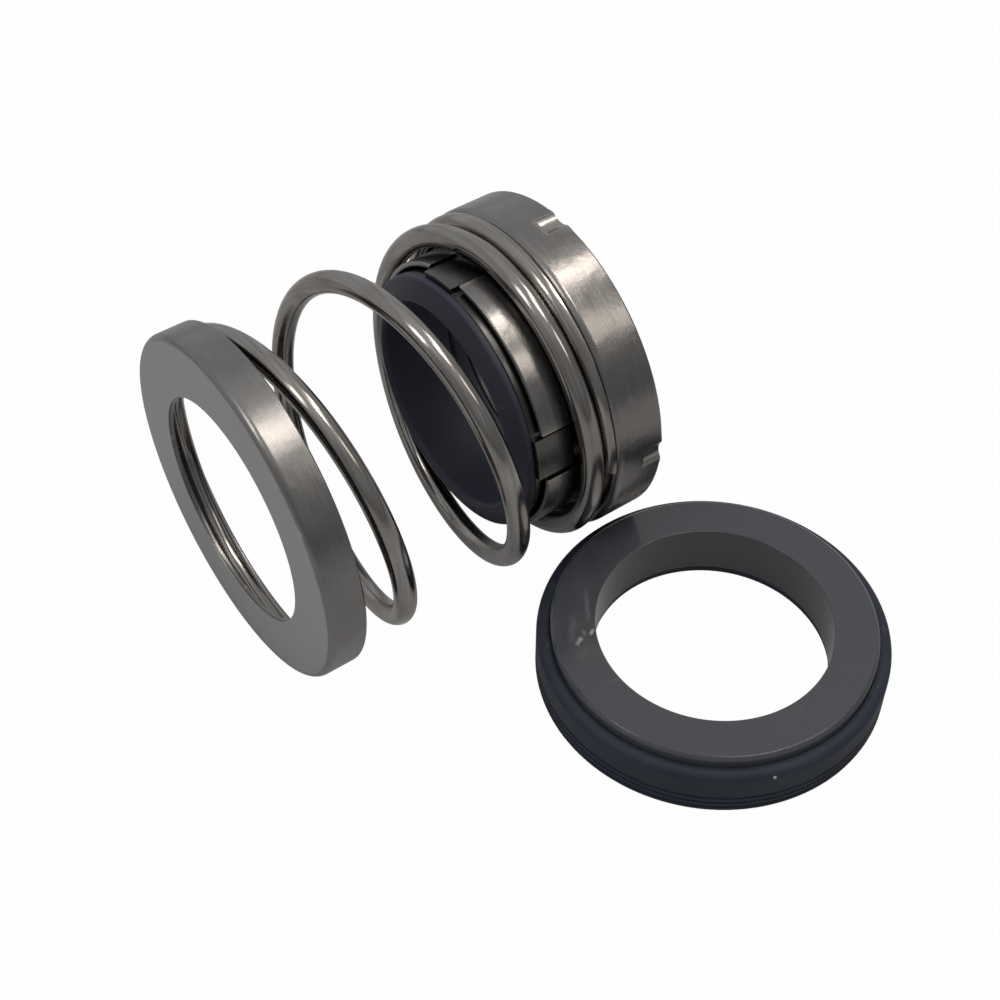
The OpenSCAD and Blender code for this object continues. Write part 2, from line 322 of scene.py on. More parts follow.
def makeHandling():
    # fine dust specks and finger smears, both as masks
    group, given, out = newGroup(
        "handling",
        [("Vector", "Vector", None), ("Speck Size", "Float", 1500.0)],
        [("Smears", "Float"), ("Specks", "Float")])
    smears = addNode(group, "ShaderNodeTexNoise", (-500, 100))
    setValues(smears, Scale=140.0, Detail=6.0, Roughness=0.6, Distortion=0.6)
    specks = addNode(group, "ShaderNodeTexVoronoi", (-500, -200))
    group.links.new(given.outputs["Vector"], smears.inputs["Vector"])
    group.links.new(given.outputs["Vector"], specks.inputs["Vector"])
    group.links.new(given.outputs["Speck Size"], specks.inputs["Scale"])
    spread = addNode(group, "ShaderNodeMapRange", (-250, 100))
    setValues(spread, From_Min=0.35, From_Max=0.7)
    group.links.new(smears.outputs[0], spread.inputs["Value"])
    small = addNode(group, "ShaderNodeMapRange", (-250, -200))
    setValues(small, From_Min=0.16, From_Max=0.08)
    group.links.new(specks.outputs["Distance"], small.inputs["Value"])
    # dust lies only where the smears are thick
    rare = mathNode(group, "GREATER_THAN", smears.outputs[0], 0.6, (-250, -380))
    dust = mathNode(group, "MULTIPLY", small.outputs[0], rare, (0, -250))
    group.links.new(spread.outputs[0], out.inputs["Smears"])
    group.links.new(dust, out.inputs["Specks"])
    return group


def vectorMath(tree, operation, first, second, place):
    node = addNode(tree, "ShaderNodeVectorMath", place, operation=operation)
    tree.links.new(first, node.inputs[0])
    tree.links.new(second, node.inputs["Scale" if operation == "SCALE" else 1])
    return node.outputs["Value" if operation in ("DOT_PRODUCT", "DISTANCE") else "Vector"]


def makeStroke():
    # a mask along a short, uneven line from one place to another, that fades towards its rim and both ends
    group, given, out = newGroup(
        "stroke",
        [("Vector", "Vector", None), ("Start", "Vector", None), ("End", "Vector", None),
         ("Width", "Float", 0.0002)],
        [("Mask", "Float")])
    wobble = addNode(group, "ShaderNodeTexNoise", (-1200, -200))
    setValues(wobble, Scale=700.0, Detail=2.0)
    group.links.new(given.outputs["Vector"], wobble.inputs["Vector"])
    sway = 0.9 * mm
    shift = addNode(group, "ShaderNodeVectorMath", (-1000, -200), operation="MULTIPLY_ADD")
    shift.inputs[1].default_value = (sway, sway, sway)
    shift.inputs[2].default_value = (-sway / 2, -sway / 2, -sway / 2)
    group.links.new(wobble.outputs["Color"], shift.inputs[0])
    moved = vectorMath(group, "ADD", given.outputs["Vector"], shift.outputs[0], (-850, -100))
    line = vectorMath(group, "SUBTRACT", given.outputs["End"], given.outputs["Start"], (-700, 100))
    reach = vectorMath(group, "SUBTRACT", moved, given.outputs["Start"], (-700, -100))
    shadow = vectorMath(group, "DOT_PRODUCT", reach, line, (-500, 100))
    whole = vectorMath(group, "DOT_PRODUCT", line, line, (-500, 250))
    along = mathNode(group, "DIVIDE", shadow, whole, (-350, 150), clamp=True)
    nearest = vectorMath(group, "SCALE", line, along, (-200, 100))
    apart = vectorMath(group, "DISTANCE", reach, nearest, (-50, 0))
    share = mathNode(group, "DIVIDE", apart, given.outputs["Width"], (100, 0))
    soft = addNode(group, "ShaderNodeMapRange", (300, 0), interpolation_type="SMOOTHSTEP")
    setValues(soft, From_Min=1.0, From_Max=0.0)
    group.links.new(share, soft.inputs["Value"])
    rest = mathNode(group, "SUBTRACT", 1.0, along, (100, 250))
    arch = mathNode(group, "MULTIPLY", along, rest, (250, 250))
    ends = mathNode(group, "MULTIPLY", arch, 4.0, (400, 250))  # 1 halfway along
    group.links.new(mathNode(group, "MULTIPLY", soft.outputs[0], ends, (500, 100)), out.inputs["Mask"])
    return group


turnedGrain = makeTurnedGrain()
edgeHighlight = makeEdgeHighlight()
handling = makeHandling()
stroke = makeStroke()


def placeGroup(tree, group, vector, place, **values):
    node = addNode(tree, "ShaderNodeGroup", place, node_tree=group)
    tree.links.new(vector, node.inputs["Vector"])
    setValues(node, **values)
    return node


def startMaterial(name, upright=False, centre=headCentre):
    material = bpy.data.materials.new(name)
    material.use_nodes = True
    tree = material.node_tree
    shader = tree.nodes["Principled BSDF"]
    coordinates = addNode(tree, "ShaderNodeTexCoord", (-1300, 0))
    vector = coordinates.outputs["Object"]
    if upright:
        # the seat's axis is brought onto X, where the grain turns
        mapping = addNode(tree, "ShaderNodeMapping", (-1100, 0), vector_type="TEXTURE")
        mapping.inputs["Location"].default_value = centre
        mapping.inputs["Rotation"].default_value = (0, radians(-90), 0)
        tree.links.new(vector, mapping.inputs["Vector"])
        vector = mapping.outputs[0]
    return material, tree, shader, vector


def mixColours(tree, mask, first, second, place):
    # the colour sockets of the Mix node are inputs 6 and 7 and output 2
    mix = addNode(tree, "ShaderNodeMix", place, data_type="RGBA")
    tree.links.new(mask, mix.inputs["Factor"])
    for index, value in ((6, first), (7, second)):
        if isinstance(value, tuple):
            mix.inputs[index].default_value = (*value, 1)
        else:
            tree.links.new(value, mix.inputs[index])
    return mix.outputs[2]


def spreadValue(tree, value, low, high, place, fromLow=0.3, fromHigh=0.7):
    node = addNode(tree, "ShaderNodeMapRange", place)
    setValues(node, From_Min=fromLow, From_Max=fromHigh, To_Min=low, To_Max=high)
    tree.links.new(value, node.inputs["Value"])
    return node.outputs[0]


def bump(tree, height, strength, distance, place, normal=None):
    node = addNode(tree, "ShaderNodeBump", place)
    setValues(node, Strength=strength, Distance=distance)
    tree.links.new(height, node.inputs["Height"])
    if normal:
        tree.links.new(normal, node.inputs["Normal"])
    return node.outputs[0]


def addMarksAndReflections(tree, colour, look):
    # each mark runs from one place to another in the object's own frame, and has a width and a strength. On
    # the cup a mark is a dust speck; on the seat the marks are painted reflections of the head's bright
    # spots.
    vector = tree.nodes["Texture Coordinate"].outputs["Object"]
    for index, (start, end, width, amount) in enumerate(look["marks"]):
        height = 500 + 200 * index
        mark = placeGroup(tree, stroke, vector, (-300, height), Start=[part * mm for part in start],
                          End=[part * mm for part in end], Width=width * mm)
        mask = mathNode(tree, "MULTIPLY", mark.outputs["Mask"], amount, (-100, height))
        colour = mixColours(tree, mask, colour, look["markAndReflectionColour"], (100, height))
    return colour


def addPatches(tree, grain, look, colour):
    # broad patches of a second tone
    mask = spreadValue(tree, grain.outputs["Patches"], 0, look["patchAmount"], (-750, 50))
    return mixColours(tree, mask, colour, look["tint"], (-300, 250))


def addEdgeHighlight(tree, vector, look, colour):
    # outer edges painted lighter, as a painted edge highlight
    edges = placeGroup(tree, edgeHighlight, vector, (-1000, -150), From=look["edgeFrom"], To=look["edgeTo"])
    mask = mathNode(tree, "MULTIPLY", edges.outputs["Edges"], look["edgeAmount"], (-500, -50))
    return mixColours(tree, mask, colour, look["edge"], (-100, 200))


def addSmears(tree, look, pattern, marks):
    # the roughness follows a fine pattern, and rises in the smears
    base = spreadValue(tree, pattern, *look["roughness"], (-500, -200))
    smears = mathNode(tree, "MULTIPLY", marks.outputs["Smears"], look["smears"], (-500, -400))
    return mathNode(tree, "ADD", base, smears, (-250, -250))


def addRelief(tree, shader, look, height, normal=None):
    relief = bump(tree, height, look["bump"], look["bumpDepth"] * mm, (-250, -450), normal)
    tree.links.new(relief, shader.inputs["Normal"])


def steel(name, look):
    material, tree, shader, vector = startMaterial(name)
    grain = placeGroup(tree, turnedGrain, vector, (-1000, 200), Fineness=look["fineness"],
                       Length=look["streakLength"], Patch_Size=look["patchSize"])
    marks = placeGroup(tree, handling, vector, (-1000, -400))
    streaks = spreadValue(tree, grain.outputs["Streaks"], 0, 1, (-750, 250))
    base = mixColours(tree, streaks, look["dark"], look["light"], (-500, 300))
    # the outer edges get a painted highlight
    colour = addEdgeHighlight(tree, vector, look, addPatches(tree, grain, look, base))
    rough = addSmears(tree, look, grain.outputs["Streaks"], marks)
    if "satin" in look:
        # the flat face is satin where the rolled side is bright
        parts = addNode(tree, "ShaderNodeSeparateXYZ", (-1000, 450))
        tree.links.new(vector, parts.inputs[0])
        satin = spreadValue(tree, parts.outputs["X"], 1, 0, (-750, 450), look["satinFrom"] * mm,
                            look["satinTo"] * mm)
        colour = mixColours(tree, satin, colour, look["satin"], (50, 300))
        # the number sockets of the Mix node are inputs 2 and 3 and output 0
        rougher = addNode(tree, "ShaderNodeMix", (50, 50), data_type="FLOAT")
        tree.links.new(satin, rougher.inputs["Factor"])
        tree.links.new(rough, rougher.inputs[2])
        rougher.inputs[3].default_value = look["satinRoughness"]
        rough = rougher.outputs[0]
    tree.links.new(colour, shader.inputs["Base Color"])
    tree.links.new(rough, shader.inputs["Roughness"])
    waves = bump(tree, grain.outputs["Patches"], 1, look["waveDepth"] * mm, (-500, -600))
    addRelief(tree, shader, look, grain.outputs["Streaks"], waves)
    setValues(shader, Metallic=1.0)
    return material


def rubber(name, look, upright=False, centre=headCentre):
    material, tree, shader, vector = startMaterial(name, upright, centre)
    grain = placeGroup(tree, turnedGrain, vector, (-1000, 200), Fineness=look["fineness"],
                       Length=look["streakLength"], Patch_Size=look["patchSize"])
    marks = placeGroup(tree, handling, vector, (-1000, -400), Speck_Size=look["speckSize"])
    pores = addNode(tree, "ShaderNodeTexNoise", (-1000, -650))
    setValues(pores, Scale=look["poreScale"], Detail=4.0, Roughness=0.6)
    tree.links.new(vector, pores.inputs["Vector"])
    patches = spreadValue(tree, grain.outputs["Patches"], 0, 1, (-750, 250))
    base = mixColours(tree, patches, look["dark"], look["light"], (-500, 300))
    # the outer edges get a painted highlight
    edgeLit = addEdgeHighlight(tree, vector, look, base)
    dust = mathNode(tree, "MULTIPLY", marks.outputs["Specks"], look["dust"], (-300, -100))
    dusty = mixColours(tree, dust, edgeLit, look["dustColour"], (50, 200))
    tree.links.new(addMarksAndReflections(tree, dusty, look), shader.inputs["Base Color"])
    tree.links.new(addSmears(tree, look, pores.outputs[0], marks), shader.inputs["Roughness"])
    addRelief(tree, shader, look, pores.outputs[0])
    setValues(shader, Specular_IOR_Level=look["specular"])
    return material


def ceramic(name, look, upright=False, centre=headCentre):
    material, tree, shader, vector = startMaterial(name, upright, centre)
    grain = placeGroup(tree, turnedGrain, vector, (-1000, 200), Fineness=look["fineness"],
                       Length=look["streakLength"], Patch_Size=look["patchSize"])
    marks = placeGroup(tree, handling, vector, (-1000, -400))
    crystals = addNode(tree, "ShaderNodeTexNoise", (-1000, -650))
    setValues(crystals, Scale=look["grainScale"], Detail=3.0, Roughness=0.7)
    tree.links.new(vector, crystals.inputs["Vector"])
    grains = spreadValue(tree, crystals.outputs[0], 0, 1, (-750, -650))
    base = mixColours(tree, grains, look["dark"], look["light"], (-500, 300))
    # the outer edges get a painted highlight
    edgeLit = addEdgeHighlight(tree, vector, look, addPatches(tree, grain, look, base))
    tree.links.new(addMarksAndReflections(tree, edgeLit, look), shader.inputs["Base Color"])
    tree.links.new(addSmears(tree, look, grain.outputs["Streaks"], marks), shader.inputs["Roughness"])
    addRelief(tree, shader, look, grain.outputs["Streaks"])
    setValues(shader, Specular_IOR_Level=look["specular"])
    return material


def dress(piece, material, slot, body, *nodes):
    # flat faces stay flat beside their rounded edges
    shading = piece.modifiers.new("evenShading", "WEIGHTED_NORMAL")
    shading.keep_sharp = True
    shading.weight = 100
    applyModifiers(piece)
    piece.data.materials.clear()
    piece.data.materials.append(material)
    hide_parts(*nodes)
    if body:
        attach(piece, body)


# Spring holder: a pressed cup whose flat face looks out along -X

springHolder = {
    "face": -39.0, "floor": -38.2, "rim": -33.6,
    "bore": 16.0, "inside": 23.7, "outside": 24.5,
    "corner": (1.1, 10), "insideCorner": (0.3, 3), "rimEdge": (0.3, 4), "boreEdge": (0.12, 3),
}
holderLook = {
    "dark": (0.205, 0.202, 0.20), "light": (0.255, 0.251, 0.248), "tint": (0.18, 0.178, 0.176),
    "patchAmount": 0.5, "edge": (0.65, 0.63, 0.60), "edgeAmount": 0.5, "edgeFrom": 0.53, "edgeTo": 0.6,
    "fineness": 5000.0, "streakLength": 5.0, "patchSize": 220.0,
    "roughness": (0.22, 0.30), "smears": 0.06, "bump": 0.04, "bumpDepth": 0.02, "waveDepth": 0.07,
    "satinFrom": -38.97, "satinTo": -38.9, "satin": (0.385, 0.385, 0.39), "satinRoughness": 0.5,
}


def makeSpringHolder():
    d = springHolder
    piece = turnedPiece("spring_holder_pressing", [
        (d["floor"], d["bore"], d["boreEdge"]),
        (d["face"], d["bore"], d["boreEdge"]),
        (d["face"], d["outside"], d["corner"]),
        (d["rim"], d["outside"], d["rimEdge"]),
        (d["rim"], d["inside"], d["rimEdge"]),
        (d["floor"], d["inside"], d["insideCorner"]),
    ])
    dress(piece, steel("holderSteel", holderLook), "holder_steel", "holder", "spring_holder")
    print("spring holder made,", len(piece.data.polygons), "faces")


# Spring: round wire with closed, ground ends

springWire = {
    "wire": 3.1, "coil": 22.05, "gap": 0.05,
    # how far the wire runs past the plane that grinds its end coils
    "floor": -38.2, "shoulder": 5.9, "groundAway": 2.0,
    # the open turns lean this far towards the shoulder from an even pitch
    "leaveTurn": -90, "openTurns": 2.24, "holderTurns": 1, "shoulderTurns": 1.26, "lean": 1.1,
    "around": 28, "stepsPerTurn": 110,
}
springLook = {
    "dark": (0.22, 0.214, 0.208), "light": (0.43, 0.415, 0.40), "tint": (0.21, 0.197, 0.184),
    "patchAmount": 0.7, "edge": (0.6, 0.57, 0.53), "edgeAmount": 0.1, "edgeFrom": 0.55, "edgeTo": 0.65,
    "fineness": 2500.0, "streakLength": 1.2, "patchSize": 160.0,
    "roughness": (0.12, 0.17), "smears": 0.05, "bump": 0.015, "bumpDepth": 0.02, "waveDepth": 0.03,
}


def springTurns():
    # where the wire starts, leaves the holder's coil, lands on the shoulder's coil and ends
    d = springWire
    firstTurn = d["leaveTurn"] - 360 * d["holderTurns"]
    landTurn = d["leaveTurn"] + 360 * d["openTurns"]
    return firstTurn, d["leaveTurn"], landTurn, landTurn + 360 * d["shoulderTurns"]


def wirePlace(turn):
    # place of the wire's middle along the head's axis
    d = springWire
    firstTurn, leaveTurn, landTurn, lastTurn = springTurns()
    pitch = d["wire"] + d["gap"]
    start = d["floor"] + d["gap"] + d["wire"] / 2 - d["groundAway"]
    end = d["shoulder"] - d["gap"] - d["wire"] / 2 + d["groundAway"]
    if turn < leaveTurn:
        return start + pitch * (turn - firstTurn) / 360
    if turn > landTurn:
        return end - pitch * (lastTurn - turn) / 360
    leave = start + pitch * d["holderTurns"]
    land = end - pitch * d["shoulderTurns"]
    share = (turn - leaveTurn) / (landTurn - leaveTurn)
    return leave + (land - leave) * share + d["lean"] * sin(pi * share * share)


def makeSpring():
    d = springWire
    firstTurn, *_, lastTurn = springTurns()
    steps = ceil((lastTurn - firstTurn) / 360 * d["stepsPerTurn"])
    nothingSelected()
    # the wire's section, a circle above the axis in the XZ plane
    bpy.ops.mesh.primitive_circle_add(vertices=d["around"], radius=d["wire"] / 2 * mm, fill_type="NOTHING",
                                      location=(0, 0, 0), rotation=(pi / 2, 0, 0))
    piece = bpy.context.object
    piece.name = "coil_spring_wire"
    bpy.ops.object.transform_apply(location=True, rotation=True, scale=True)
    bpy.ops.object.mode_set(mode="EDIT")
    bpy.ops.mesh.select_all(action="SELECT")
    bpy.ops.transform.translate(value=(0, 0, d["coil"] * mm))
    bpy.ops.object.mode_set(mode="OBJECT")
    coil = piece.modifiers.new("coil", "SCREW")
    coil.axis = "X"
    coil.angle = radians(lastTurn - firstTurn)
    coil.steps = steps
    coil.render_steps = steps
    coil.screw_offset = 0
    coil.use_smooth_shade = True
    applyModifiers(piece)
    section = d["around"]
    mesh = piece.data
    # each ring of the section moves to the place of its turn
    for vert in mesh.vertices:
        ring = vert.index // section
        turn = firstTurn + (lastTurn - firstTurn) * ring / steps
        radial = sqrt(vert.co.y ** 2 + vert.co.z ** 2)
        vert.co = Vector((vert.co.x + wirePlace(turn) * mm, -radial * sin(radians(turn)),
                          radial * cos(radians(turn))))
    bpy.context.view_layer.objects.active = piece
    bpy.ops.object.mode_set(mode="EDIT")
    # the wire's two ends are filled, then both end coils are ground flat
    bpy.ops.mesh.select_all(action="DESELECT")
    bpy.ops.mesh.select_non_manifold()
    bpy.ops.mesh.edge_face_add()
    bpy.ops.mesh.select_all(action="DESELECT")
    bpy.ops.mesh.select_mode(type="EDGE")
    bpy.ops.mesh.select_non_manifold()
    bpy.ops.mesh.fill_holes(sides=0)
    for place, outwards in ((d["floor"] + d["gap"], -1), (d["shoulder"] - d["gap"], 1)):
        bpy.ops.mesh.select_all(action="SELECT")
        bpy.ops.mesh.bisect(plane_co=(place * mm, 0, 0), plane_no=(outwards, 0, 0), use_fill=True,
                            clear_outer=True)
    bpy.ops.mesh.select_all(action="SELECT")
    bpy.ops.mesh.remove_doubles(threshold=weldGap)
    bpy.ops.mesh.normals_make_consistent(inside=False)
    finishMesh(piece)
    dress(piece, steel("springSteel", springLook), "spring_wire", None, "spring")
    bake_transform(piece)
    print("spring made,", len(piece.data.polygons), "faces")


# Retainer: one drawn shell with a slotted neck, a shoulder and a wide rim with four pressed dents

retainer = {
    "lip": -2.5, "shoulder": 5.9, "rim": 13.5,
    "sheet": 0.8, "neckInside": 18.95, "neckOutside": 19.75, "shellInside": 22.9, "shellOutside": 23.7,
    "foldCorner": 0.4, "foldSteps": 5, "foldInsideSteps": 8,
    "shoulderCorner": 1.2, "shoulderSteps": 10, "shoulderInsideSteps": 5,
    "lipEdge": (0.3, 3), "rimEdge": (0.3, 4), "edge": (0.1, 2),
    "slots": 4, "slotTurn": -11.5, "slotWidth": 7.2, "slotEnd": 4.5, "slotCorner": (0.7, 6),
    # the bar that cuts a slot starts before the lip and runs through the neck
    "slotBefore": 2, "slotInner": 12, "slotOuter": 22,
    "dents": 4, "dentWidth": 3.4, "dentLength": 3.2, "dentDepth": 0.7, "dentSides": 96,
    # rows of points beside a dent's end, how far its sheet stays under the skin and the rim,
    # and how far its tool runs past the rim
    "dentRows": (1.4, 0.4), "underSkin": 0.1, "underRim": 0.02, "pastRim": 1,
}
retainerLook = {
    "dark": (0.205, 0.198, 0.193), "light": (0.27, 0.262, 0.256), "tint": (0.19, 0.186, 0.184),
    "patchAmount": 0.5, "edge": (0.6, 0.57, 0.53), "edgeAmount": 0.35, "edgeFrom": 0.56, "edgeTo": 0.66,
    "fineness": 6500.0, "streakLength": 3.0, "patchSize": 330.0,
    "roughness": (0.19, 0.27), "smears": 0.06, "bump": 0.06, "bumpDepth": 0.03, "waveDepth": 0.06,
}


def dentGroove():
    # the round tool that presses a dent: its radius, and how far its middle is from the axis
    d = retainer
    radius = ((d["dentWidth"] / 2) ** 2 + d["dentDepth"] ** 2) / (2 * d["dentDepth"])
    return radius, d["shellOutside"] - d["dentDepth"] + radius


def makeRetainer():
    d = retainer
    sheet = d["sheet"]
    dentStart = d["rim"] - d["dentLength"]
    piece = turnedPiece("retainer_shell", [
        (d["lip"], d["neckOutside"], d["lipEdge"]),
        (d["shoulder"], d["neckOutside"], (d["foldCorner"], d["foldSteps"])),
        (d["shoulder"], d["shellOutside"], (d["shoulderCorner"], d["shoulderSteps"])),
        *[(dentStart - row, d["shellOutside"]) for row in d["dentRows"]],
        (d["rim"], d["shellOutside"], d["rimEdge"]),
        (d["rim"], d["shellInside"], d["rimEdge"]),
        (d["shoulder"] + sheet, d["shellInside"], (d["shoulderCorner"] - sheet, d["shoulderInsideSteps"])),
        (d["shoulder"] + sheet, d["neckInside"], (d["foldCorner"] + sheet, d["foldInsideSteps"])),
        (d["lip"], d["neckInside"], d["lipEdge"]),
    ], steps=240)
    radius, middle = dentGroove()
    for index in range(d["dents"]):
        turn = index * 360 / d["dents"]
        # the sheet that the dent pushes inwards, kept under the shell's skin
        inside = roundBar("dent_inside", radius + sheet, dentStart - sheet, d["rim"] - d["underRim"], middle,
                          turn, d["dentSides"])
        combine(inside, [roundBar("skin", d["shellOutside"] - d["underSkin"])], "INTERSECT")
        combine(piece, [inside], "UNION")
        outside = roundBar("dent_outside", radius, dentStart, d["rim"] + d["pastRim"], middle, turn,
                           d["dentSides"])
        combine(piece, [outside], "DIFFERENCE")
    for index in range(d["slots"]):
        slot = radialBar("slot", d["slotWidth"], d["lip"] - d["slotBefore"], d["slotEnd"], d["slotInner"],
                         d["slotOuter"], d["slotCorner"], d["slotTurn"] + index * 360 / d["slots"])
        combine(piece, [slot], "DIFFERENCE")
    roundEdges(piece, d["edge"])
    dress(piece, steel("retainerSteel", retainerLook), "retainer_steel", "head", "retainer")
    print("retainer made,", len(piece.data.polygons), "faces")


# Drive band with one raised lug for each slot

driveBand = {
    "start": -3.6, "end": 4.1, "inside": 17.9, "outside": 18.6, "edge": (0.15, 3),
    "lugs": 4, "lugTurn": -11.5, "lugWidth": 6.2, "lugLength": 5.6, "lugRise": 0.8, "lugCorner": (0.7, 6),
    # a lug's bar starts this far inside the band and ends this far outside it, and is then trimmed
    "lugInner": 1, "lugOuter": 2, "lugOverlap": 0.1, "lugEdge": (0.2, 3),
}
# painted shade: the band's steel is coloured far darker than the retainer's steel, for the shade down in the
# neck's slots where its lugs sit
shadedBandLook = {
    "dark": (0.062, 0.062, 0.063), "light": (0.09, 0.09, 0.091), "tint": (0.057, 0.057, 0.058),
    "patchAmount": 0.5, "edge": (0.6, 0.57, 0.53), "edgeAmount": 0.12, "edgeFrom": 0.58, "edgeTo": 0.68,
    "fineness": 6500.0, "streakLength": 3.0, "patchSize": 160.0,
    "roughness": (0.22, 0.30), "smears": 0.05, "bump": 0.1, "bumpDepth": 0.03, "waveDepth": 0.1,
}


def makeDriveBand():
    d = driveBand
    piece = turnedPiece("drive_band_ring", [
        (d["start"], d["inside"]),
        (d["start"], d["outside"], d["edge"]),
        (d["end"], d["outside"], d["edge"]),
        (d["end"], d["inside"]),
    ], steps=240)
    for index in range(d["lugs"]):
        turn = d["lugTurn"] + index * 360 / d["lugs"]
        lug = radialBar("lug", d["lugWidth"], d["start"], d["start"] + d["lugLength"],
                        d["outside"] - d["lugInner"], d["outside"] + d["lugOuter"], d["lugCorner"], turn)
        combine(lug, [roundBar("lug_top", d["outside"] + d["lugRise"])], "INTERSECT")
        combine(lug, [roundBar("lug_root", d["outside"] - d["lugOverlap"])], "DIFFERENCE")
        combine(piece, [lug], "UNION")
    roundEdges(piece, d["lugEdge"])
    dress(piece, steel("bandShadedSteel", shadedBandLook), "band_steel", "drive", "drive_band")
    print("drive band made,", len(piece.data.polygons), "faces")


# Rubber bellows: tail, one fold and the flange behind the primary ring

bellows = {
    "shaft": 15.0, "grip": -5.0, "gripEnd": 5.0, "mouth": -5.7, "mouthEdge": -4.5, "mouthOutside": 18.65,
    "bandStart": -3.65, "bandEnd": 4.15, "underBand": 17.85,
    "crest": 18.65, "crestPlace": 4.76, "valley": 18.1, "valleyPlace": 6.1,
    "flange": 6.75, "flangeEnd": 7.95, "flangeOutside": 22.1, "foldInside": 16.4, "foldMiddle": 17.0,
    "foldPlace": 5.42, "mouthFlare": 0.45, "flangeFlare": 0.1,
    "smallEdge": (0.2, 3), "flangeEdge": (0.15, 3), "bandEdge": (0.1, 2), "mouthInner": (0.25, 4),
    "mouthOuter": (0.4, 5), "crestRound": (0.5, 5), "valleyRound": (0.4, 5), "foldRound": (0.3, 4),
}
bellowsLook = {
    "dark": (0.026, 0.029, 0.046), "light": (0.035, 0.038, 0.057), "edge": (0.045, 0.047, 0.056),
    "edgeAmount": 0.6, "edgeFrom": 0.53, "edgeTo": 0.6, "fineness": 2500.0, "streakLength": 4.0,
    "patchSize": 120.0,
    "poreScale": 2600.0, "speckSize": 1800.0, "dust": 0.12, "dustColour": (0.35, 0.34, 0.32),
    "roughness": (0.42, 0.55), "smears": 0.08, "bump": 0.12, "bumpDepth": 0.02, "specular": 0.3,
    "marks": (),
}


def makeBellows():
    d = bellows
    piece = turnedPiece("bellows_moulding", [
        (d["gripEnd"], d["shaft"], d["smallEdge"]),
        (d["grip"], d["shaft"], d["smallEdge"]),
        (d["mouth"], d["shaft"] + d["mouthFlare"], d["mouthInner"]),
        (d["mouthEdge"], d["mouthOutside"], d["mouthOuter"]),
        (d["bandStart"], d["mouthOutside"], d["bandEdge"]),
        (d["bandStart"], d["underBand"]),
        (d["bandEnd"], d["underBand"]),
        (d["crestPlace"], d["crest"], d["crestRound"]),
        (d["valleyPlace"], d["valley"], d["valleyRound"]),
        (d["flange"], d["valley"] + d["flangeFlare"], d["smallEdge"]),
        (d["flange"], d["flangeOutside"], d["flangeEdge"]),
        (d["flangeEnd"], d["flangeOutside"], d["flangeEdge"]),
        (d["flangeEnd"], d["foldInside"], d["flangeEdge"]),
        (d["valleyPlace"], d["foldInside"], d["foldRound"]),
        (d["foldPlace"], d["foldMiddle"], d["smallEdge"]),
    ])
    dress(piece, rubber("bellowsRubber", bellowsLook), "bellows_rubber", None, "bellows")
    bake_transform(piece)
    print("bellows made,", len(piece.data.polygons), "faces")


# Primary ring, notched for the retainer's dents

primaryRing = {
    "back": 8.0, "shoulder": 13.9, "face": 15.0, "bore": 16.2, "nose": 19.4, "outside": 22.6,
    "edge": (0.3, 4), "noseEdge": (0.12, 3), "boreEdge": (0.15, 3), "notchEdge": (0.1, 2),
    # a notch is wider than the dent by this, and its tool starts before the back and stops short of the face
    "notchClear": 0.3, "notchBefore": 1, "notchShort": 0.01,
}
ringLook = {
    "dark": (0.034, 0.035, 0.040), "light": (0.050, 0.050, 0.055), "tint": (0.042, 0.042, 0.046),
    "patchAmount": 0.5, "edge": (0.12, 0.12, 0.125), "edgeAmount": 0.6, "edgeFrom": 0.53, "edgeTo": 0.6,
    "fineness": 9000.0, "streakLength": 2.0, "patchSize": 90.0, "grainScale": 3000.0,
    "roughness": (0.22, 0.3), "smears": 0.06, "bump": 0.03, "bumpDepth": 0.01, "specular": 0.5,
    "marks": (),
}


def makePrimaryRing():
    d = primaryRing
    piece = turnedPiece("primary_ring_turned", [
        (d["back"], d["bore"], d["boreEdge"]),
        (d["back"], d["outside"], d["edge"]),
        (d["shoulder"], d["outside"], d["edge"]),
        (d["shoulder"], d["nose"]),
        (d["face"], d["nose"], d["noseEdge"]),
        (d["face"], d["bore"], d["noseEdge"]),
    ], steps=240)
    radius, middle = dentGroove()
    for index in range(retainer["dents"]):
        notch = roundBar("notch", radius + retainer["sheet"] + d["notchClear"], d["back"] - d["notchBefore"],
                         d["face"] - d["notchShort"], middle, index * 360 / retainer["dents"],
                         retainer["dentSides"])
        combine(piece, [notch], "DIFFERENCE")
    roundEdges(piece, d["notchEdge"])
    dress(piece, ceramic("ringCeramic", ringLook), "ring_ceramic", "head", "primary_ring")
    print("primary ring made,", len(piece.data.polygons), "faces")


# Stationary seat: the lapped ring and its rubber cup

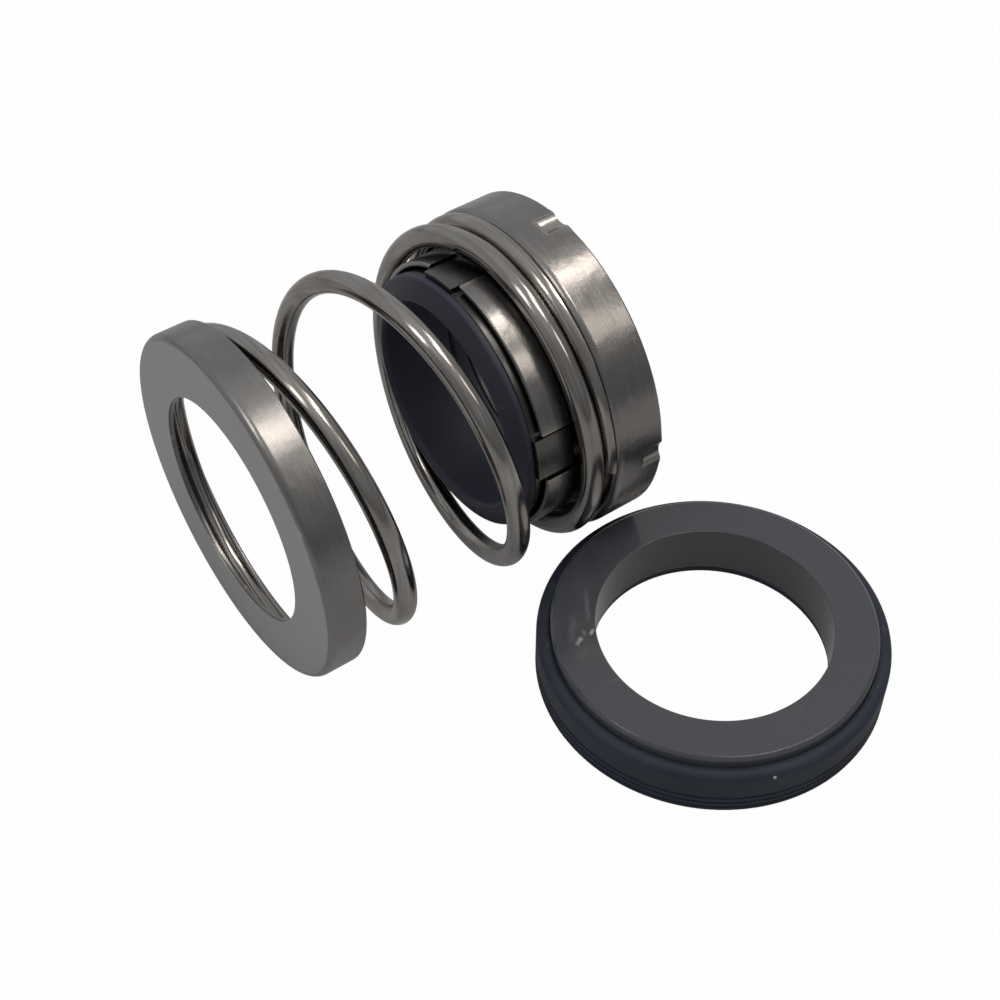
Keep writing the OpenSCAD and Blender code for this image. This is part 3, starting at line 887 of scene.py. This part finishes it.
seat = {
    "bore": 16.0, "ringOutside": 22.0, "ringBase": 1.25, "height": 8.9, "chamfer": 0.45,
    "baseEdge": (0.15, 3), "ringEdge": (0.3, 4), "chamferEdge": (0.1, 2), "boreEdge": (0.1, 3),
    "cupBore": 16.3, "cupInside": 22.05, "cupOutside": 23.85, "cupBase": 1.2, "cupHeight": 7.3,
    "cupCorner": (1.2, 10), "cupFoot": (0.3, 3), "cupEdge": (0.1, 2),
    "grooves": 3, "groovePitch": 1.0, "grooveStart": 0.6, "grooveWidth": 0.5, "grooveDepth": 0.15,
    "grooveEdge": (0.05, 2),
}
seatLook = {
    "dark": (0.053, 0.057, 0.067), "light": (0.064, 0.068, 0.079), "tint": (0.057, 0.061, 0.073),
    "patchAmount": 0.6, "edge": (0.09, 0.09, 0.095), "edgeAmount": 0.5, "edgeFrom": 0.53, "edgeTo": 0.6,
    "fineness": 9000.0, "streakLength": 2.0, "patchSize": 70.0, "grainScale": 2600.0,
    "roughness": (0.10, 0.15), "smears": 0.06, "bump": 0.02, "bumpDepth": 0.01, "specular": 0.45,
    # the seat's marks are painted reflections of the head's bright spots on the lapped face
    "marks": (((-6.40, -33.35, -15.6), (-7.95, -34.20, -15.6), 0.50, 0.50),
              ((-4.35, -32.95, -15.6), (-5.35, -33.95, -15.6), 0.38, 0.55),
              ((-5.50, -32.30, -15.6), (-6.10, -33.55, -15.6), 0.45, 0.14),
              ((-0.80, -26.90, -15.6), (-4.60, -32.20, -15.6), 0.50, 0.08),
              ((-4.90, -29.20, -15.6), (-8.30, -33.50, -15.6), 0.80, 0.06)),
    "markAndReflectionColour": (0.62, 0.62, 0.64),
}
cupLook = {
    "dark": (0.019, 0.025, 0.039), "light": (0.026, 0.034, 0.052), "edge": (0.05, 0.056, 0.07),
    "edgeAmount": 0.5, "edgeFrom": 0.53, "edgeTo": 0.6, "fineness": 2500.0, "streakLength": 4.0,
    "patchSize": 120.0,
    "poreScale": 2400.0, "speckSize": 1500.0, "dust": 0.3, "dustColour": (0.5, 0.49, 0.47),
    "roughness": (0.46, 0.6), "smears": 0.1, "bump": 0.15, "bumpDepth": 0.02, "specular": 0.22,
    # the cup's mark is a dust speck
    "marks": (((1.21, -63.88, -17.65), (1.22, -63.87, -18.20), 0.30, 0.9),),
    "markAndReflectionColour": (0.75, 0.75, 0.75),
}


def makeSeat():
    d = seat
    ring = turnedPiece("seat_ring_lapped", [
        (d["ringBase"], d["bore"], d["baseEdge"]),
        (d["ringBase"], d["ringOutside"], d["ringEdge"]),
        (d["height"] - d["chamfer"], d["ringOutside"], d["chamferEdge"]),
        (d["height"], d["ringOutside"] - d["chamfer"], d["chamferEdge"]),
        (d["height"], d["bore"], d["boreEdge"]),
    ], upright=True, centre=seatCentre)
    dress(ring, ceramic("seatCeramic", seatLook, True, seatCentre), "seat_ceramic", "head", "seat_ring")
    outline = [(0, d["cupBore"], d["cupEdge"]), (0, d["cupOutside"], d["cupFoot"])]
    for index in range(d["grooves"]):
        start = d["grooveStart"] + index * d["groovePitch"]
        end = start + d["grooveWidth"]
        outline += [
            (start, d["cupOutside"], d["grooveEdge"]),
            (start, d["cupOutside"] - d["grooveDepth"]),
            (end, d["cupOutside"] - d["grooveDepth"]),
            (end, d["cupOutside"], d["grooveEdge"]),
        ]
    outline += [
        (d["cupHeight"], d["cupOutside"], d["cupCorner"]),
        (d["cupHeight"], d["cupInside"], d["cupEdge"]),
        (d["cupBase"], d["cupInside"]),
        (d["cupBase"], d["cupBore"], d["cupEdge"]),
    ]
    cup = turnedPiece("seat_cup_moulding", outline, upright=True, centre=seatCentre)
    dress(cup, rubber("cupRubber", cupLook, True, seatCentre), "cup_rubber", "head", "seat_cup")
    print("seat made,", len(ring.data.polygons) + len(cup.data.polygons), "faces")


# Floor, light and camera

studio = {
    # the floor's size and the gap under the part are metres
    "floorSize": 3.0, "floorGap": 0.00002, "floorColour": (0.50, 0.50, 0.505),
    # how much of the floor's white a camera ray and a mirrored ray see
    "whiteForCamera": 0.985, "whiteInGloss": 0.10,
    # the room's colour at the horizon, halfway up and at the zenith, and where its front turns into its back
    "front": ((0.20, 0.20, 0.20), (0.40, 0.398, 0.395), (0.80, 0.79, 0.78)),
    "back": ((0.60, 0.60, 0.605), (0.56, 0.56, 0.562), (0.80, 0.79, 0.78)),
    "halfwayHeight": 0.7, "sideFrom": -0.5, "sideTo": 0.5,
}
lamps = [
    # name, place, width, length (metres), radiance, colour: each one faces the head
    ("shellSoftbox", (0.201, 0.006, 0.414), 0.08, 0.09, 9.0, (1.0, 0.90, 0.80)),
    ("frontSoftbox", (0.201, -0.250, 0.330), 0.09, 0.14, 3.2, (1.0, 0.90, 0.80)),
    ("holderSoftbox", (0.100, -0.090, 0.445), 0.10, 0.12, 9.0, (1.0, 0.90, 0.80)),
    ("cornerSoftbox", (-0.30, 0.020, 0.400), 0.10, 0.18, 5.5, (1.0, 0.94, 0.87)),
]


def makeFloor():
    nothingSelected()
    bpy.ops.mesh.primitive_plane_add(size=studio["floorSize"], location=(0, 0, groundZ - studio["floorGap"]))
    floor = bpy.context.object
    floor.name = "floor"
    material = bpy.data.materials.new("paleFloor")
    material.use_nodes = True
    tree = material.node_tree
    tree.nodes.clear()
    out = addNode(tree, "ShaderNodeOutputMaterial", (600, 0))
    matt = addNode(tree, "ShaderNodeBsdfDiffuse", (0, 0))
    matt.inputs["Color"].default_value = (*studio["floorColour"], 1)
    white = addNode(tree, "ShaderNodeEmission", (0, -200))
    path = addNode(tree, "ShaderNodeLightPath", (-600, 200))
    seen = mathNode(tree, "MULTIPLY", path.outputs["Is Camera Ray"], studio["whiteForCamera"], (-300, 200))
    gloss = mathNode(tree, "MAXIMUM", path.outputs["Is Glossy Ray"], path.outputs["Is Transmission Ray"],
                     (-300, 0))
    mirrored = mathNode(tree, "MULTIPLY", gloss, studio["whiteInGloss"], (-100, 0))
    share = mathNode(tree, "ADD", seen, mirrored, (0, 200), clamp=True)
    mix = addNode(tree, "ShaderNodeMixShader", (300, 0))
    tree.links.new(share, mix.inputs[0])
    tree.links.new(matt.outputs[0], mix.inputs[1])
    tree.links.new(white.outputs[0], mix.inputs[2])
    tree.links.new(mix.outputs[0], out.inputs["Surface"])
    floor.data.materials.append(material)


def makeLights():
    world = bpy.data.worlds.new("studioRoom")
    bpy.context.scene.world = world
    world.use_nodes = True
    tree = world.node_tree
    # a room that grows lighter towards the ceiling, and is darker at the front than at the back
    direction = addNode(tree, "ShaderNodeTexCoord", (-1100, 0))
    parts = addNode(tree, "ShaderNodeSeparateXYZ", (-900, 0))
    tree.links.new(direction.outputs["Generated"], parts.inputs[0])
    sides = []
    for index, side in enumerate(("front", "back")):
        ramp = addNode(tree, "ShaderNodeValToRGB", (-650, 150 - 300 * index))
        tree.links.new(parts.outputs["Z"], ramp.inputs[0])
        horizon, halfway, zenith = studio[side]
        ramp.color_ramp.elements[0].color = (*horizon, 1)
        ramp.color_ramp.elements[1].color = (*zenith, 1)
        ramp.color_ramp.elements.new(studio["halfwayHeight"]).color = (*halfway, 1)
        sides.append(ramp.outputs[0])
    across = spreadValue(tree, parts.outputs["Y"], 0, 1, (-650, -450), studio["sideFrom"], studio["sideTo"])
    room = mixColours(tree, across, *sides, (-300, 0))
    path = addNode(tree, "ShaderNodeLightPath", (-300, 300))
    seen = mixColours(tree, path.outputs["Is Camera Ray"], room, (1.0, 1.0, 1.0), (-100, 0))
    tree.links.new(seen, tree.nodes["Background"].inputs["Color"])
    for name, place, width, length, radiance, colour in lamps:
        lamp = bpy.data.lights.new(name, "AREA")
        lamp.shape = "RECTANGLE"
        lamp.size = width
        lamp.size_y = length
        lamp.energy = radiance * pi * width * length
        lamp.color = colour
        holder = bpy.data.objects.new(name, lamp)
        bpy.context.scene.collection.objects.link(holder)
        holder.location = place
        holder.rotation_euler = Vector(place).to_track_quat("Z", "Y").to_euler()


photoView = {
    # lens and sensor in millimetres, places in metres, roll in radians
    "lens": 65.205, "sensor": 36, "roll": 0.005, "nearest": 0.01,
    "place": (-0.101111, -0.146812, 0.175011), "lookAt": (0.003488, -0.000616, -0.0245),
}


def makeCamera():
    view = bpy.data.cameras.new("photoCamera")
    view.lens = photoView["lens"]
    view.sensor_width = photoView["sensor"]
    view.clip_start = photoView["nearest"]
    camera = bpy.data.objects.new("photoCamera", view)
    bpy.context.scene.collection.objects.link(camera)
    camera.location = photoView["place"]
    away = Vector(photoView["lookAt"]) - camera.location
    turn = away.to_track_quat("-Z", "Y").to_matrix() @ Matrix.Rotation(photoView["roll"], 3, "Z")
    camera.rotation_euler = turn.to_euler()
    bpy.context.scene.camera = camera


bpy.context.scene.view_settings.view_transform = "Standard"
makeCamera()
makeFloor()
makeLights()
makeSpringHolder()
makeSpring()
makeRetainer()
makeDriveBand()
makeBellows()
makePrimaryRing()
makeSeat()

print("all pieces made")
